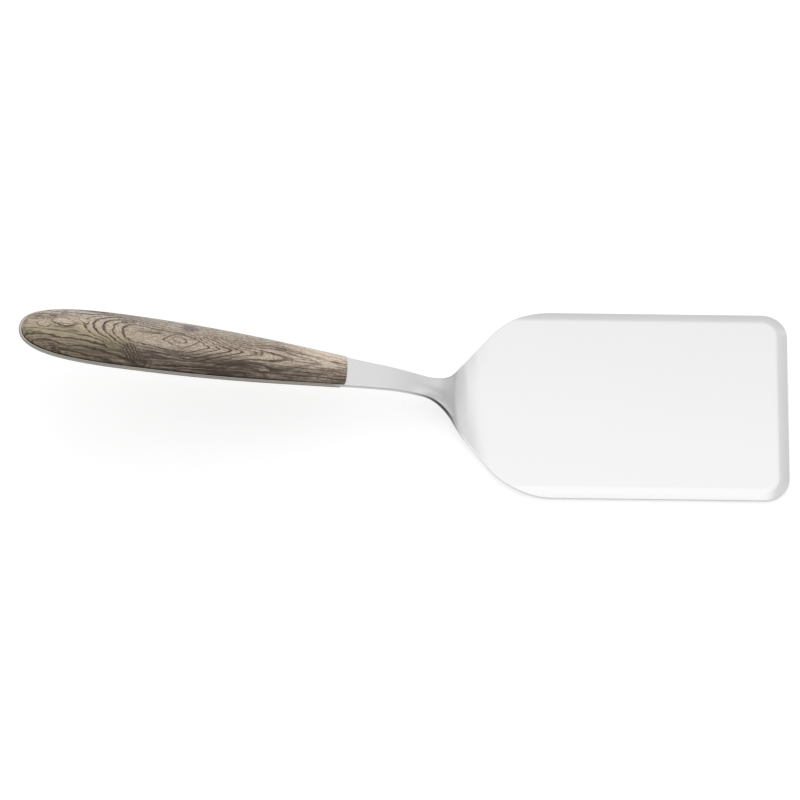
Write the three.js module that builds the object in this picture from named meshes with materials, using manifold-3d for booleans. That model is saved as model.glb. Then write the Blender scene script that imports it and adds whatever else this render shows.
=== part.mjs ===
// A lasagna server: a broad square spatula. Blade, cranked neck and full tang are one stamped steel plate.
// A crowned wooden scale is bonded to each face of the tang, and blind dowels locate both scales.
// Millimetres. +X points to the blade's front edge, +Z up. The blade is level and its lip stands on z = 0.
import * as THREE from "three";
import { mergeVertices } from "three/addons/utils/BufferGeometryUtils.js";
import Module from "manifold-3d";

const wasm = await Module();
wasm.setup();

const radians = THREE.MathUtils.degToRad;

// The whole server and its sheet
const TOTAL_LENGTH = 300;
const SHEET = 1.5;
const EDGE_ROUND = 0.35;

// The blade in plan, back from its front edge
const BLADE_WIDTH = 86.4;
const CORNER_RADIUS = 10;
const SIDE_LENGTH = 92.5;
const SHOULDER_RADIUS = 31;
const SHOULDER_ANGLE = radians(52.4);
const THROAT_RADIUS = 18.9;
const NECK_WIDTH = 9.1;
const NECK_TAPER = radians(2);

// The lip pressed down along the blade's sides and front
const LIP_WIDTH = 4.7;
const LIP_ANGLE = radians(18);
const LIP_FOLD_RADIUS = 6;

// The side profile: flat blade, rise, bend over into the neck, and a handle that bows a little
const BLADE_FLAT = 123.4;
const RISE_RADIUS = 13;
const RISE_ANGLE = radians(38.9);
const RISE_STRAIGHT = 5.4;
const NECK_BEND_RADIUS = 59;
const HANDLE_ANGLE = radians(13.8);
const TIP_ANGLE = radians(12.1);

// The tang's outline under the wood: it swells to a belly and closes in a round tip
const BELLY_WIDTH = 24;
const BELLY_FROM_TIP = 38.3;
const NECK_PULL_SHARE = 0.32;
const BELLY_PULL_SHARE = 0.46;
const TIP_REACH_SHARE = 0.63;
const TIP_FULLNESS_SHARE = 0.77;

// The wooden scales
const UPPER_LENGTH = 129.2;
const LOWER_SETBACK = 1.1;
const RIM_AT_NECK = 0.6;
const RIM_AT_TIP = 0.95;
const BOND_LINE = 0.3;
const UPPER_WALL = 0.6;
const UPPER_CROWN = 5;
const LOWER_WALL = 0.4;
const LOWER_CROWN = 4.6;
const CROWN_POWER = 0.75;
const END_EASE = 0.6;

// The blind dowels, placed along the upper scale from its front end
const DOWEL_RADIUS = 2;
const DOWEL_LENGTH = 6.6;
const DOWEL_CHAMFER = 0.4;
const DOWEL_FIT = 0.2;
const DOWEL_END_ROOM = 0.3;
const DOWEL_PLACE_SHARES = { front: 0.1, middle: 0.47, rear: 0.83 };

// How finely the curves are cut
const CORNER_STEPS = 9;
const SHOULDER_STEPS = 8;
const DIAGONAL_STEPS = 20;
const THROAT_STEPS = 16;
const NECK_STEPS = 48;
const TIP_STEPS = 22;
const WOOD_STEPS = 30;
const EASE_STEPS = 3;
const CROWN_STEPS = 8;
const DOWEL_SIDES = 24;

const STEEL = { color: 0xd9dadb, metalness: 1, roughness: 0.22 };
const WOOD = { color: 0x8f7f70, metalness: 0, roughness: 0.55 };
const BRASS = { color: 0xb5934c, metalness: 1, roughness: 0.35 };

// The sheet's middle is what the outline and the side profile measure. Its edges lean out by this much.
const halfSheet = SHEET / 2;
const sideLean = (halfSheet - EDGE_ROUND) * Math.sin(LIP_ANGLE);
const tipLean = (halfSheet - EDGE_ROUND) * Math.sin(TIP_ANGLE);
const halfBlade = BLADE_WIDTH / 2 - sideLean;
const halfNeck = NECK_WIDTH / 2;
const halfBelly = BELLY_WIDTH / 2;

// How far an even bend goes along and up for each millimetre of sheet, between two slopes
function alongPerLength(from, to) {
  return from === to ? Math.cos(from) : (Math.sin(to) - Math.sin(from)) / (to - from);
}

function risePerLength(from, to) {
  return from === to ? Math.sin(from) : (Math.cos(from) - Math.cos(to)) / (to - from);
}

// The side profile as runs of sheet, each straight or evenly bent, from the front edge back to the tip
function sideProfile() {
  const runs = [
    { length: BLADE_FLAT, from: 0, to: 0 },
    { length: RISE_RADIUS * RISE_ANGLE, from: 0, to: RISE_ANGLE },
    { length: RISE_STRAIGHT, from: RISE_ANGLE, to: RISE_ANGLE },
    { length: NECK_BEND_RADIUS * (RISE_ANGLE - HANDLE_ANGLE), from: RISE_ANGLE, to: HANDLE_ANGLE },
    { from: HANDLE_ANGLE, to: TIP_ANGLE },
  ];
  let start = 0;
  let x = TOTAL_LENGTH / 2 - sideLean;
  let z = 0;
  for (const run of runs) {
    const left = x + TOTAL_LENGTH / 2 - tipLean;
    run.length ??= left / alongPerLength(run.from, run.to);
    Object.assign(run, { start, x, z });
    start += run.length;
    x -= run.length * alongPerLength(run.from, run.to);
    z += run.length * risePerLength(run.from, run.to);
  }
  return { runs, length: start };
}

const profile = sideProfile();

// The place, the slope and the two directions of the sheet at a distance s back from the front edge
function onProfile(s) {
  const run = profile.runs.findLast((each) => s >= each.start) ?? profile.runs[0];
  const far = s - run.start;
  const slope = run.from + ((run.to - run.from) * far) / run.length;
  const x = run.x - far * alongPerLength(run.from, slope);
  const z = run.z + far * risePerLength(run.from, slope);
  return {
    point: new THREE.Vector3(x, 0, z),
    back: new THREE.Vector3(-Math.cos(slope), 0, Math.sin(slope)),
    up: new THREE.Vector3(Math.sin(slope), 0, Math.cos(slope)),
    slope,
  };
}

// Half of the flat blank's outline, as distance back s and half width w, from the front edge to the tip
function blankOutline() {
  const turnIn = 1 - Math.cos(SHOULDER_ANGLE);
  const shoulderEnd = SIDE_LENGTH + SHOULDER_RADIUS * Math.sin(SHOULDER_ANGLE);
  const shoulderHalf = halfBlade - SHOULDER_RADIUS * turnIn;
  const throatHalf = halfNeck + THROAT_RADIUS * turnIn;
  const throatStart = shoulderEnd + (shoulderHalf - throatHalf) / Math.tan(SHOULDER_ANGLE);
  const throatMiddle = throatStart + THROAT_RADIUS * Math.sin(SHOULDER_ANGLE);
  const neckStart = throatMiddle + THROAT_RADIUS * Math.sin(NECK_TAPER);
  const neckHalf = halfNeck + THROAT_RADIUS * (1 - Math.cos(NECK_TAPER));
  const belly = profile.length - BELLY_FROM_TIP;
  const swell = belly - neckStart;
  const quarter = Math.PI / 2;

  const at = (s, w) => new THREE.Vector2(s, w);
  const arc = (s, w, r, from, to) => new THREE.EllipseCurve(s, w, r, r, from, to, from > to);
  const cornerAt = [CORNER_RADIUS, halfBlade - CORNER_RADIUS];
  const shoulderAt = [SIDE_LENGTH, halfBlade - SHOULDER_RADIUS];
  const throatAt = [throatMiddle, halfNeck + THROAT_RADIUS];
  return {
    corner: arc(...cornerAt, CORNER_RADIUS, Math.PI, quarter),
    side: new THREE.LineCurve(at(CORNER_RADIUS, halfBlade), at(SIDE_LENGTH, halfBlade)),
    shoulder: arc(...shoulderAt, SHOULDER_RADIUS, quarter, quarter - SHOULDER_ANGLE),
    diagonal: new THREE.LineCurve(at(shoulderEnd, shoulderHalf), at(throatStart, throatHalf)),
    throat: arc(...throatAt, THROAT_RADIUS, -quarter - SHOULDER_ANGLE, NECK_TAPER - quarter),
    swelling: new THREE.CubicBezierCurve(
      at(neckStart, neckHalf),
      at(neckStart + swell * NECK_PULL_SHARE, neckHalf + swell * NECK_PULL_SHARE * Math.tan(NECK_TAPER)),
      at(belly - swell * BELLY_PULL_SHARE, halfBelly),
      at(belly, halfBelly),
    ),
    tip: new THREE.CubicBezierCurve(
      at(belly, halfBelly),
      at(belly + BELLY_FROM_TIP * TIP_REACH_SHARE, halfBelly),
      at(profile.length, halfBelly * TIP_FULLNESS_SHARE),
      at(profile.length, 0),
    ),
  };
}

const outline = blankOutline();

// Stations on a stretch of the outline: where each is, and which way the outline faces there
function stationsOn(curve, steps, from = 0, to = 1) {
  return Array.from({ length: steps + 1 }, (_, i) => {
    const t = from + ((to - from) * i) / steps;
    const { x: s, y: w } = curve.getPoint(t);
    const along = curve.getTangent(t);
    return { s, w, outS: -along.y, outW: along.x };
  });
}

function joined(...stretches) {
  return stretches.flatMap((stretch, i) => (i ? stretch.slice(1) : stretch));
}

function movedIn(station, distance) {
  return { ...station, s: station.s - station.outS * distance, w: station.w - station.outW * distance };
}

// How far a place lies outside the lip's fold line, and the way out. The fold follows the sides and front.
function beyondFold({ s, w }) {
  const radius = Math.max(CORNER_RADIUS - LIP_WIDTH, EDGE_ROUND);
  const toFront = LIP_WIDTH + radius - s;
  const toSide = w - (halfBlade - LIP_WIDTH - radius);
  if (toFront > 0 && toSide > 0) {
    const reach = Math.hypot(toFront, toSide);
    return { distance: reach - radius, outS: -toFront / reach, outW: toSide / reach };
  }
  return toSide >= toFront
    ? { distance: toSide - radius, outS: 0, outW: 1 }
    : { distance: toFront - radius, outS: -1, outW: 0 };
}

// The lip's section: an even bend, then a straight slope
const foldReach = LIP_FOLD_RADIUS * Math.sin(LIP_ANGLE);

function lipSection(distance) {
  if (distance <= 0) return { drop: 0, slope: 0 };
  const slope = distance < foldReach ? Math.asin(distance / LIP_FOLD_RADIUS) : LIP_ANGLE;
  const bent = LIP_FOLD_RADIUS * (1 - Math.cos(slope));
  return { drop: bent + Math.max(distance - foldReach, 0) * Math.tan(LIP_ANGLE), slope };
}

// A point of the formed plate: s and w on the blank, side +1 or -1, and the height above the sheet's middle
function formed({ s, w, height }, side) {
  const { point, back, up } = onProfile(s);
  const fold = beyondFold({ s, w });
  const { drop, slope } = lipSection(fold.distance);
  const lean = height * Math.sin(slope);
  return point
    .addScaledVector(up, height * Math.cos(slope) - drop)
    .addScaledVector(back, lean * fold.outS)
    .add(new THREE.Vector3(0, side * (w + lean * fold.outW), 0));
}

// A closed skin through rings that run round the same stations, from the top ring to the bottom one. The last
// station is the tip, which both sides share. Rings may meet: faces with no area are left out.
function skin(stations, rings) {
  const tip = stations.length - 1;
  const round = 2 * tip + 1;
  const positions = [];
  for (const ring of rings) {
    const marks = stations.map(ring);
    const loop = [
      ...marks.toReversed().map((mark) => formed(mark, 1)),
      ...marks.slice(0, -1).map((mark) => formed(mark, -1)),
    ];
    for (const { x, y, z } of loop) positions.push(x, y, z);
  }
  const faces = [];
  const bottom = (rings.length - 1) * round;
  for (let r = 0; r < rings.length - 1; r++) {
    for (let j = 0; j < round; j++) {
      const a = r * round + j;
      const b = r * round + ((j + 1) % round);
      faces.push([a, b, a + round], [b, b + round, a + round]);
    }
  }
  for (let j = 0; j < tip; j++) {
    const across = round - j;
    const here = across % round;
    faces.push([here, across - 1, j + 1], [here, j + 1, j]);
    const [low, lowAcross, lowNext] = [bottom + here, bottom + across - 1, bottom + j + 1];
    faces.push([low, lowNext, lowAcross], [low, bottom + j, lowNext]);
  }
  const raw = new THREE.BufferGeometry();
  raw.setAttribute("position", new THREE.Float32BufferAttribute(positions, 3));
  raw.setIndex(faces.flat());
  return withoutFlatFaces(mergeVertices(raw));
}

function withoutFlatFaces(geometry) {
  const index = geometry.index.array;
  const kept = [];
  for (let i = 0; i < index.length; i += 3) {
    const [a, b, c] = index.slice(i, i + 3);
    if (a !== b && b !== c && c !== a) kept.push(a, b, c);
  }
  geometry.setIndex(kept);
  return geometry;
}

// Solids that cut and are cut
function solidOf(geometry) {
  const bare = geometry.clone();
  bare.deleteAttribute("normal");
  bare.deleteAttribute("uv");
  const merged = mergeVertices(bare);
  return new wasm.Manifold(new wasm.Mesh({
    numProp: 3,
    vertProperties: merged.attributes.position.array,
    triVerts: new Uint32Array(merged.index.array),
  }));
}

function geometryOf(solid) {
  const { vertProperties, triVerts } = solid.getMesh();
  const geometry = new THREE.BufferGeometry();
  geometry.setAttribute("position", new THREE.BufferAttribute(new Float32Array(vertProperties), 3));
  geometry.setIndex(new THREE.BufferAttribute(new Uint32Array(triVerts), 1));
  geometry.computeVertexNormals();
  return geometry;
}

// The dowels' seats: a point on the tang's middle and the direction square to it
const woodStart = profile.length - UPPER_LENGTH;
const dowelSeats = Object.entries(DOWEL_PLACE_SHARES).map(([name, share]) => {
  const { point, up } = onProfile(woodStart + UPPER_LENGTH * share);
  return { name, point, turn: new THREE.Quaternion().setFromUnitVectors(new THREE.Vector3(0, 1, 0), up) };
});

// A round cutter on each dowel's line, which clears the dowel all round and reaches a given length in all
function dowelCutters(length) {
  return dowelSeats.map(({ point, turn }) => {
    const cutter = new THREE.CylinderGeometry(
      DOWEL_RADIUS + DOWEL_FIT, DOWEL_RADIUS + DOWEL_FIT, length, DOWEL_SIDES,
    );
    return solidOf(cutter.applyQuaternion(turn).translate(point.x, point.y, point.z));
  });
}

function drilled(geometry, length) {
  const blank = solidOf(geometry);
  return geometryOf(dowelCutters(length).reduce((solid, cutter) => solid.subtract(cutter), blank));
}

// The plate: its edges are rounded all round, and on the blade the lip's fold lies between them and the flat.
// The fold line runs out where the shoulder's curve crosses it.
function plateGeometry() {
  const lipEnd = Math.acos((SHOULDER_RADIUS - LIP_WIDTH) / (SHOULDER_RADIUS - EDGE_ROUND));
  const lipEndShare = Math.min(lipEnd / SHOULDER_ANGLE, 1);
  const stations = joined(
    stationsOn(outline.corner, CORNER_STEPS),
    stationsOn(outline.side, 1),
    stationsOn(outline.shoulder, SHOULDER_STEPS, 0, lipEndShare),
    stationsOn(outline.shoulder, SHOULDER_STEPS, lipEndShare),
    stationsOn(outline.diagonal, DIAGONAL_STEPS),
    stationsOn(outline.throat, THROAT_STEPS),
    stationsOn(outline.swelling, NECK_STEPS),
    stationsOn(outline.tip, TIP_STEPS),
  );
  const edge = (turn, side) => (station) => ({
    ...movedIn(station, EDGE_ROUND * (1 - Math.cos(turn))),
    height: side * (halfSheet - EDGE_ROUND * (1 - Math.sin(turn))),
  });
  const fold = (level, side) => (station) => {
    const inner = movedIn(station, EDGE_ROUND);
    const { distance, outS, outW } = beyondFold(inner);
    const inwards = Math.max(distance - level, 0);
    return { s: inner.s - outS * inwards, w: inner.w - outW * inwards, height: side * halfSheet };
  };
  const half = (side) => [
    fold(0, side),
    fold(LIP_FOLD_RADIUS * Math.sin(LIP_ANGLE / 2), side),
    fold(foldReach, side),
    edge(Math.PI / 2, side),
    edge(Math.PI / 4, side),
    edge(0, side),
  ];
  return skin(stations, [...half(1), ...half(-1).reverse()]);
}

// The place on a curve of the outline where it is s back from the front edge
function shareAt(curve, s) {
  let low = 0;
  let high = 1;
  while (high - low > Number.EPSILON * 2) {
    const middle = (low + high) / 2;
    if (curve.getPoint(middle).x < s) low = middle;
    else high = middle;
  }
  return low;
}

// A wooden scale. Its outline leaves a steel rim inside the tang's, a low wall stands on the bond line, and
// above the wall the section is half an ellipse, lower where the handle is narrower. side is 1 on top and -1
// underneath.
function scaleGeometry({ side, setback, wall, crown }) {
  const front = woodStart + setback;
  const length = profile.length - front;
  const eased = Array.from({ length: EASE_STEPS }, (_, i) => (i * Math.PI) / (2 * EASE_STEPS));
  const ends = eased.map((turn) => {
    const share = shareAt(outline.swelling, front + END_EASE * (1 - Math.cos(turn)));
    return { ...stationsOn(outline.swelling, 1, share)[0], drawnIn: END_EASE * (1 - Math.sin(turn)) };
  });
  const stations = [
    ...ends,
    ...joined(
      stationsOn(outline.swelling, WOOD_STEPS, shareAt(outline.swelling, front + END_EASE)),
      stationsOn(outline.tip, TIP_STEPS),
    ),
  ].map((station) => {
    const back = (station.s - front) / length;
    const { s, w } = movedIn(station, THREE.MathUtils.lerp(RIM_AT_NECK, RIM_AT_TIP, back));
    const width = Math.max(w, 0);
    const bulge = crown * Math.pow(width / (halfBelly - RIM_AT_TIP), CROWN_POWER);
    const drawnIn = station.drawnIn ?? 0;
    return { s, w: Math.max(width - drawnIn, 0), bulge: Math.max(bulge - drawnIn, 0) };
  });
  const foot = halfSheet + BOND_LINE;
  const rings = [
    ({ s, w }) => ({ s, w, height: side * foot }),
    ...Array.from({ length: CROWN_STEPS + 1 }, (_, i) => ({ s, w, bulge }) => {
      const turn = (i * Math.PI) / (2 * CROWN_STEPS);
      const across = i === CROWN_STEPS ? 0 : Math.cos(turn);
      return { s, w: w * across, height: side * (foot + wall + bulge * Math.sin(turn)) };
    }),
  ];
  return skin(stations, side > 0 ? rings.reverse() : rings);
}

// A dowel: a turned rod with a chamfer at each end, standing on its own middle
function dowelGeometry() {
  const end = DOWEL_LENGTH / 2;
  const endRadius = DOWEL_RADIUS - DOWEL_CHAMFER;
  const section = [
    [0, -end],
    [endRadius, -end],
    [DOWEL_RADIUS, DOWEL_CHAMFER - end],
    [DOWEL_RADIUS, end - DOWEL_CHAMFER],
    [endRadius, end],
    [0, end],
  ];
  return new THREE.LatheGeometry(section.map(([r, h]) => new THREE.Vector2(r, h)), DOWEL_SIDES);
}

function named(name, geometry, finish) {
  const mesh = new THREE.Mesh(geometry, new THREE.MeshStandardMaterial(finish));
  mesh.name = name;
  return mesh;
}

function lasagnaServer() {
  const throughTang = DOWEL_LENGTH + 2 * DOWEL_END_ROOM;
  const plate = named("server_plate", drilled(plateGeometry(), throughTang), STEEL);
  const upper = scaleGeometry({ side: 1, setback: 0, wall: UPPER_WALL, crown: UPPER_CROWN });
  const lower = scaleGeometry({ side: -1, setback: LOWER_SETBACK, wall: LOWER_WALL, crown: LOWER_CROWN });
  const dowels = dowelSeats.map(({ name, point, turn }) => {
    const dowel = named(`dowel_${name}`, dowelGeometry(), BRASS);
    dowel.position.copy(point);
    dowel.quaternion.copy(turn);
    return dowel;
  });
  const handle = new THREE.Group().add(
    named("upper_scale", drilled(upper, throughTang), WOOD),
    named("lower_scale", drilled(lower, throughTang), WOOD),
    ...dowels,
  );
  const assembly = new THREE.Group().add(plate, handle);

  // The blade's flat lies above the table by the depth of its lip, which is what the server stands on.
  plate.geometry.computeBoundingBox();
  assembly.position.z = -plate.geometry.boundingBox.min.z;
  return new THREE.Group().add(assembly);
}

export default lasagnaServer();
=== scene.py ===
from bisect import bisect
from collections import namedtuple
from math import acos, asin, cos, hypot, pi, radians, sin, tan

import bmesh
import bpy
from bpy.props import FloatProperty, FloatVectorProperty, PointerProperty
from mathutils import Matrix, Vector


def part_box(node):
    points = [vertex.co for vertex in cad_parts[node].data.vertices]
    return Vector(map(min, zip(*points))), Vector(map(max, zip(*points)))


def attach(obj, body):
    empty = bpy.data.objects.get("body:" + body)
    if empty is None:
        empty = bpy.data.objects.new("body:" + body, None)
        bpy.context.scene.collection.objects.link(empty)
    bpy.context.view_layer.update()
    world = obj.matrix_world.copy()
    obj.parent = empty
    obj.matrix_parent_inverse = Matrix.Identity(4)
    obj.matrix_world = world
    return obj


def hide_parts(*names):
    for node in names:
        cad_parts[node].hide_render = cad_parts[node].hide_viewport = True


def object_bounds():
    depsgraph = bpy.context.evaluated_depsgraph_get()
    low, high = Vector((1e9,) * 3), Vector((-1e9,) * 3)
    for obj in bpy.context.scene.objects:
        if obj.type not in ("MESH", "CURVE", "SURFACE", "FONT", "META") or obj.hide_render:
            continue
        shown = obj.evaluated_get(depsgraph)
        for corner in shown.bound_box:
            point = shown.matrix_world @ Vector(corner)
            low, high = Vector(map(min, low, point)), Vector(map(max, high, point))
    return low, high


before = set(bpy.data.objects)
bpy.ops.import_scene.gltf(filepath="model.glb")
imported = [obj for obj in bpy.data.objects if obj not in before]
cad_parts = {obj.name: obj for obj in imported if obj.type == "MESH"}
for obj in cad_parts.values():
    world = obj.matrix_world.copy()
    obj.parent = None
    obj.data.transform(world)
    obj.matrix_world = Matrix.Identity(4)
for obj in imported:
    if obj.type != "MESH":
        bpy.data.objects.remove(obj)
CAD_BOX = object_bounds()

bl_info = {
    "name": "Lasagna server",
    "version": (1, 0, 0),
    "blender": (4, 5, 0),
    "location": "3D View > Sidebar > Server",
    "description": "Forms a steel lasagna server with wooden handle scales and lights it on a white table",
    "category": "Add Mesh",
}

MM = 0.001
QUARTER = pi / 2
WHITE = (1.0, 1.0, 1.0, 1.0)
PICTURE_SIDE = 800
SENSOR_WIDTH = 36
FAR_CLIP = 20
TABLE_HALF = 3.0
TABLE_CELLS = 8
DOWEL_SLOPE = radians(13)
JOIN_WITHIN = 1e-7

# How finely things are cut. The outline's stretches run from the front edge to the tip.
OUTLINE_STEPS = (24, 40, 20, 16, 44, 48, 110, 60)
EDGE_STEPS = 4
FOLD_STEPS = 5
WOOD_STEPS = (90, 60)
WOOD_END_STEPS = 6
CROWN_STEPS = 24
HOLE_SIDES = 48
WIDTH_SAMPLES = 30
HALVINGS = 50

# The rings of the plate's faces: on either side of the lip's fold, each a little further in, and across the middle
# at shares of the half width, drawn back from the front edge.
PAST_FOLD = 0.3 * MM
BEFORE_FOLD = (-0.3 * MM, -0.9 * MM)
FIRST_INSET = 0.25 * MM
RING_INSET = 0.06 * MM
MIDDLE_SHARES = (0.1, 0.3, 0.5, 0.7, 0.86)
DRAWN_BACK = 0.2
DRAWN_BACK_TO = 30 * MM

# Windows, in millimetres: where the rise is bowed and dished, back from the front edge, and where shade is painted
# into the steel's colour, forward from the server's middle.
BOWED = (110, 119, 126, 140)
DISHED = (117, 126, 141, 155)
BESIDE_WOOD = (-152.0, -151.0, -30.0, -22.0)
BEHIND_BLADE = (-152.0, -151.0, 18.0, 26.0)
THROAT = (-1.0, 13.0, 15.0, 22.0)


def linear(red, green, blue):
    """A screen colour, 0 to 255, as the light that it stands for."""
    def channel(value):
        share = value / 255
        return share / 12.92 if share <= 0.04045 else ((share + 0.055) / 1.055) ** 2.4
    return channel(red), channel(green), channel(blue)


def smooth(value, start, end):
    """0 up to start, 1 from end on, smooth between them. start may be more than end."""
    share = min(max((value - start) / (end - start), 0.0), 1.0)
    return share * share * (3 - 2 * share)


def window(value, start, full, wane, end):
    """1 from full to wane, 0 outside start and end, smooth between them."""
    return smooth(value, start, full) * smooth(value, end, wane)


def length(name, description, millimetres):
    return FloatProperty(name=name, description=description, default=millimetres * MM, min=0.0, precision=5,
                         subtype="DISTANCE", unit="LENGTH")


def angle(name, description, degrees):
    return FloatProperty(name=name, description=description, default=radians(degrees), subtype="ANGLE",
                         unit="ROTATION")


def number(name, description, default, low, high, **kind):
    return FloatProperty(name=name, description=description, default=default, min=low, max=high, **kind)


def factor(name, description, default):
    return number(name, description, default, 0.0, 1.0, subtype="FACTOR")


def position(name, description, *place):
    return FloatVectorProperty(name=name, description=description, default=place, size=3, subtype="XYZ",
                               unit="LENGTH")


def paint(name, description, *screen):
    return FloatVectorProperty(name=name, description=description, default=linear(*screen), size=3, min=0.0,
                               max=1.0, subtype="COLOR")


class PlateSizes(bpy.types.PropertyGroup):
    """The steel plate: blade, lip, neck and the tang inside the handle."""
    total_length: length("Total length", "From the front edge to the tip", (CAD_BOX[1].x - CAD_BOX[0].x) / MM)
    sheet: length("Sheet", "Thickness of the steel", 1.5)
    edge_round: length("Edge rounding", "Radius on the sheet's cut edges", 0.35)
    blade_width: length("Blade width", "Across the blade", (CAD_BOX[1].y - CAD_BOX[0].y) / MM)
    corner_radius: length("Corner radius", "The two front corners", 10)
    side_length: length("Side length", "From the front edge to where the shoulder begins", 92.5)
    shoulder_radius: length("Shoulder radius", "The blade's rear corners in plan", 31)
    shoulder_angle: angle("Shoulder angle", "How far the outline turns in to the neck", 52.4)
    throat_radius: length("Throat radius", "The hollow curve between shoulder and neck", 18.9)
    neck_width: length("Neck width", "At its narrowest", 9.1)
    neck_taper: angle("Neck taper", "How the neck widens towards the handle", 2)
    lip_width: length("Lip width", "The turned-down band in plan", 4.7)
    lip_angle: angle("Lip angle", "How far the lip is turned down", 18)
    lip_fold_radius: length("Lip fold radius", "At the middle of the sheet", 6)
    blade_flat: length("Blade flat", "From the front edge to where the sheet starts to rise", 120.52)
    ease_length: length("Ease length", "The slack start of the rise", 5.1)
    ease_angle: angle("Ease angle", "Slope at the end of the slack start", 8)
    rise_radius: length("Rise radius", "The bend up behind the blade", 12.5)
    rise_angle: angle("Rise angle", "The steepest slope of the neck", 38.9)
    rise_straight: length("Rise straight", "The straight run between both bends", 5.2)
    bend_bow: length("Bend bow", "How much later the rise sets in along the edges", 2.5)
    hollow_depth: length("Hollow depth", "How far the edges stand up beside the rise", 0.6)
    neck_bend_radius: length("Neck bend radius", "The bend over into the handle", 59)
    handle_angle: angle("Handle angle", "Slope at the handle's front", 13.8)
    tip_angle: angle("Tip angle", "Slope at the handle's tip", 12.1)
    belly_width: length("Belly width", "The tang at its widest", 24)
    belly_from_tip: length("Belly from tip", "Where the tang is widest", 38.3)
    neck_pull: factor("Neck pull", "How long the outline follows the neck", 0.32)
    belly_pull: factor("Belly pull", "How early the outline nears the belly", 0.46)
    tip_reach: factor("Tip reach", "How long the outline follows the belly", 0.63)
    tip_fullness: factor("Tip fullness", "How blunt the tip is", 0.77)


class ScaleSizes(bpy.types.PropertyGroup):
    """The two wooden scales and the dowels between them."""
    upper_length: length("Upper length", "Along the tang, from its tip", 129.2)
    lower_setback: length("Lower setback", "How much shorter the lower scale is", 1.1)
    rim_at_neck: length("Rim at neck", "Steel showing beside the wood at its front", 0.6)
    rim_at_tip: length("Rim at tip", "Steel showing round the wood at its tip", 0.95)
    bond_line: length("Bond line", "Room for the adhesive", 0.3)
    upper_wall: length("Upper wall", "Height of the upright edge on top", 0.6)
    upper_crown: length("Upper crown", "Height of the rounding on top, at the belly", 5)
    lower_wall: length("Lower wall", "Height of the upright edge underneath", 0.4)
    lower_crown: length("Lower crown", "Height of the rounding underneath, at the belly", 4.6)
    crown_power: number("Crown power", "How the crown sinks with the handle's width", 0.75, 0.1, 2.0)
    end_ease: length("End ease", "Rounding of the front ends", 0.6)
    dowel_radius: length("Dowel radius", "The blind dowels", 2)
    dowel_fit: length("Dowel fit", "Clearance round a dowel", 0.2)
    dowel_hole: length("Dowel hole", "Length of a dowel's hole through all three pieces", 7.2)
    dowel_places: FloatVectorProperty(name="Dowel places", description="Shares of the upper scale from its front",
                                      default=(0.1, 0.47, 0.83), size=3, min=0.0, max=1.0)


class Looks(bpy.types.PropertyGroup):
    """Colours and finishes."""
    steel: paint("Steel", "Polished stainless steel", 217, 217, 217)
    cut_edge: paint("Cut edge", "The sheared edge of the sheet round the blade", 232, 232, 232)
    # Painted shade: the neck's cut edge is darker in colour because it reflects the table in shadow under the
    # neck.
    neck_edge_shade: paint("Neck edge", "The sheared edge along the neck", 198, 198, 198)
    # Painted shade: both rim tones darken the steel beside the wood. The face is darkened for the wood's shade,
    # and the edge for the shadowed table under the handle that it reflects.
    rim_face_shade: paint("Rim face", "The steel's face beside the wood, ground with it", 178, 175, 168)
    rim_edge_shade: paint("Rim edge", "The steel's edge beside the wood", 150, 146, 139)
    # Painted shade: the dark line along the throat's cut edge is a reflection painted into the edge's colour.
    edge_shade: paint("Shaded edge", "The cut edge in the throat, which no polishing wheel reaches", 84, 84, 84)
    wood_pale: paint("Pale wood", "At the handle's front end", 226, 208, 190)
    wood_light: paint("Light wood", "Between the growth rings", 204, 187, 168)
    wood_mid: paint("Mid wood", "The wood's middle tone", 153, 136, 118)
    wood_olive: paint("Olive wood", "The cooler patches towards the tip", 158, 145, 112)
    # Painted sheen: this lighter grey on the far side stands for a grazing reflection. Its faint greying over the
    # middle of the handle is the wood's own tone.
    wood_grey_and_sheen: paint("Grey wood", "The weathered far side and the middle", 200, 191, 181)
    wood_stain: paint("Stained wood", "The bluish patch on the far side", 104, 92, 100)
    # Partly painted shade: the brown along the near side is partly the wood's own tone and partly shade on the
    # flank that faces away from the light.
    wood_brown_and_shade: paint("Brown wood", "The denser wood along the near side", 98, 80, 67)
    wood_dark: paint("Dark grain", "The lines of the growth rings", 52, 36, 24)
    brass: paint("Brass", "The dowels", 196, 160, 92)
    table: paint("Table", "The surface that the server lies on", 180, 180, 180)
    table_glow: factor("Table glow", "How bright the table shows of itself to the camera and in steel", 0.61)


class StageSizes(bpy.types.PropertyGroup):
    """Camera and light."""
    turn: angle("Turn", "How far the camera stands to the right of straight on", 0.85)
    rise: angle("Rise", "The camera's height over the table", 57.5)
    distance: length("Distance", "From the camera to the server", 2600)
    pixels_per_mm: number("Pixels per mm", "Size of the server in an 800 pixel picture", 2.562, 0.1, 20.0)
    look_at: position("Look at", "The point in the middle of the picture", -0.0024, -0.0083, 0.0165)
    sky: number("Surrounding light", "Level of the light from all round", 1.0, 0.0, 4.0)
    softbox: number("Softbox", "Power of the overhead light", 1.1, 0.0, 40.0, subtype="POWER", unit="POWER")
    softbox_width: length("Softbox width", "Side of the overhead light", 1200)
    softbox_place: position("Softbox place", "The middle of the overhead light", -0.1, 0.1, 1.1)


def maths(operation, reflected=False):
    """A wire's method that adds one Math node. A reflected one puts its own wire last."""
    def method(self, *others):
        values = (*others, self) if reflected else (self, *others)
        return self.sheet.node("ShaderNodeMath", {"operation": operation}, dict(enumerate(values)))
    return method


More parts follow.
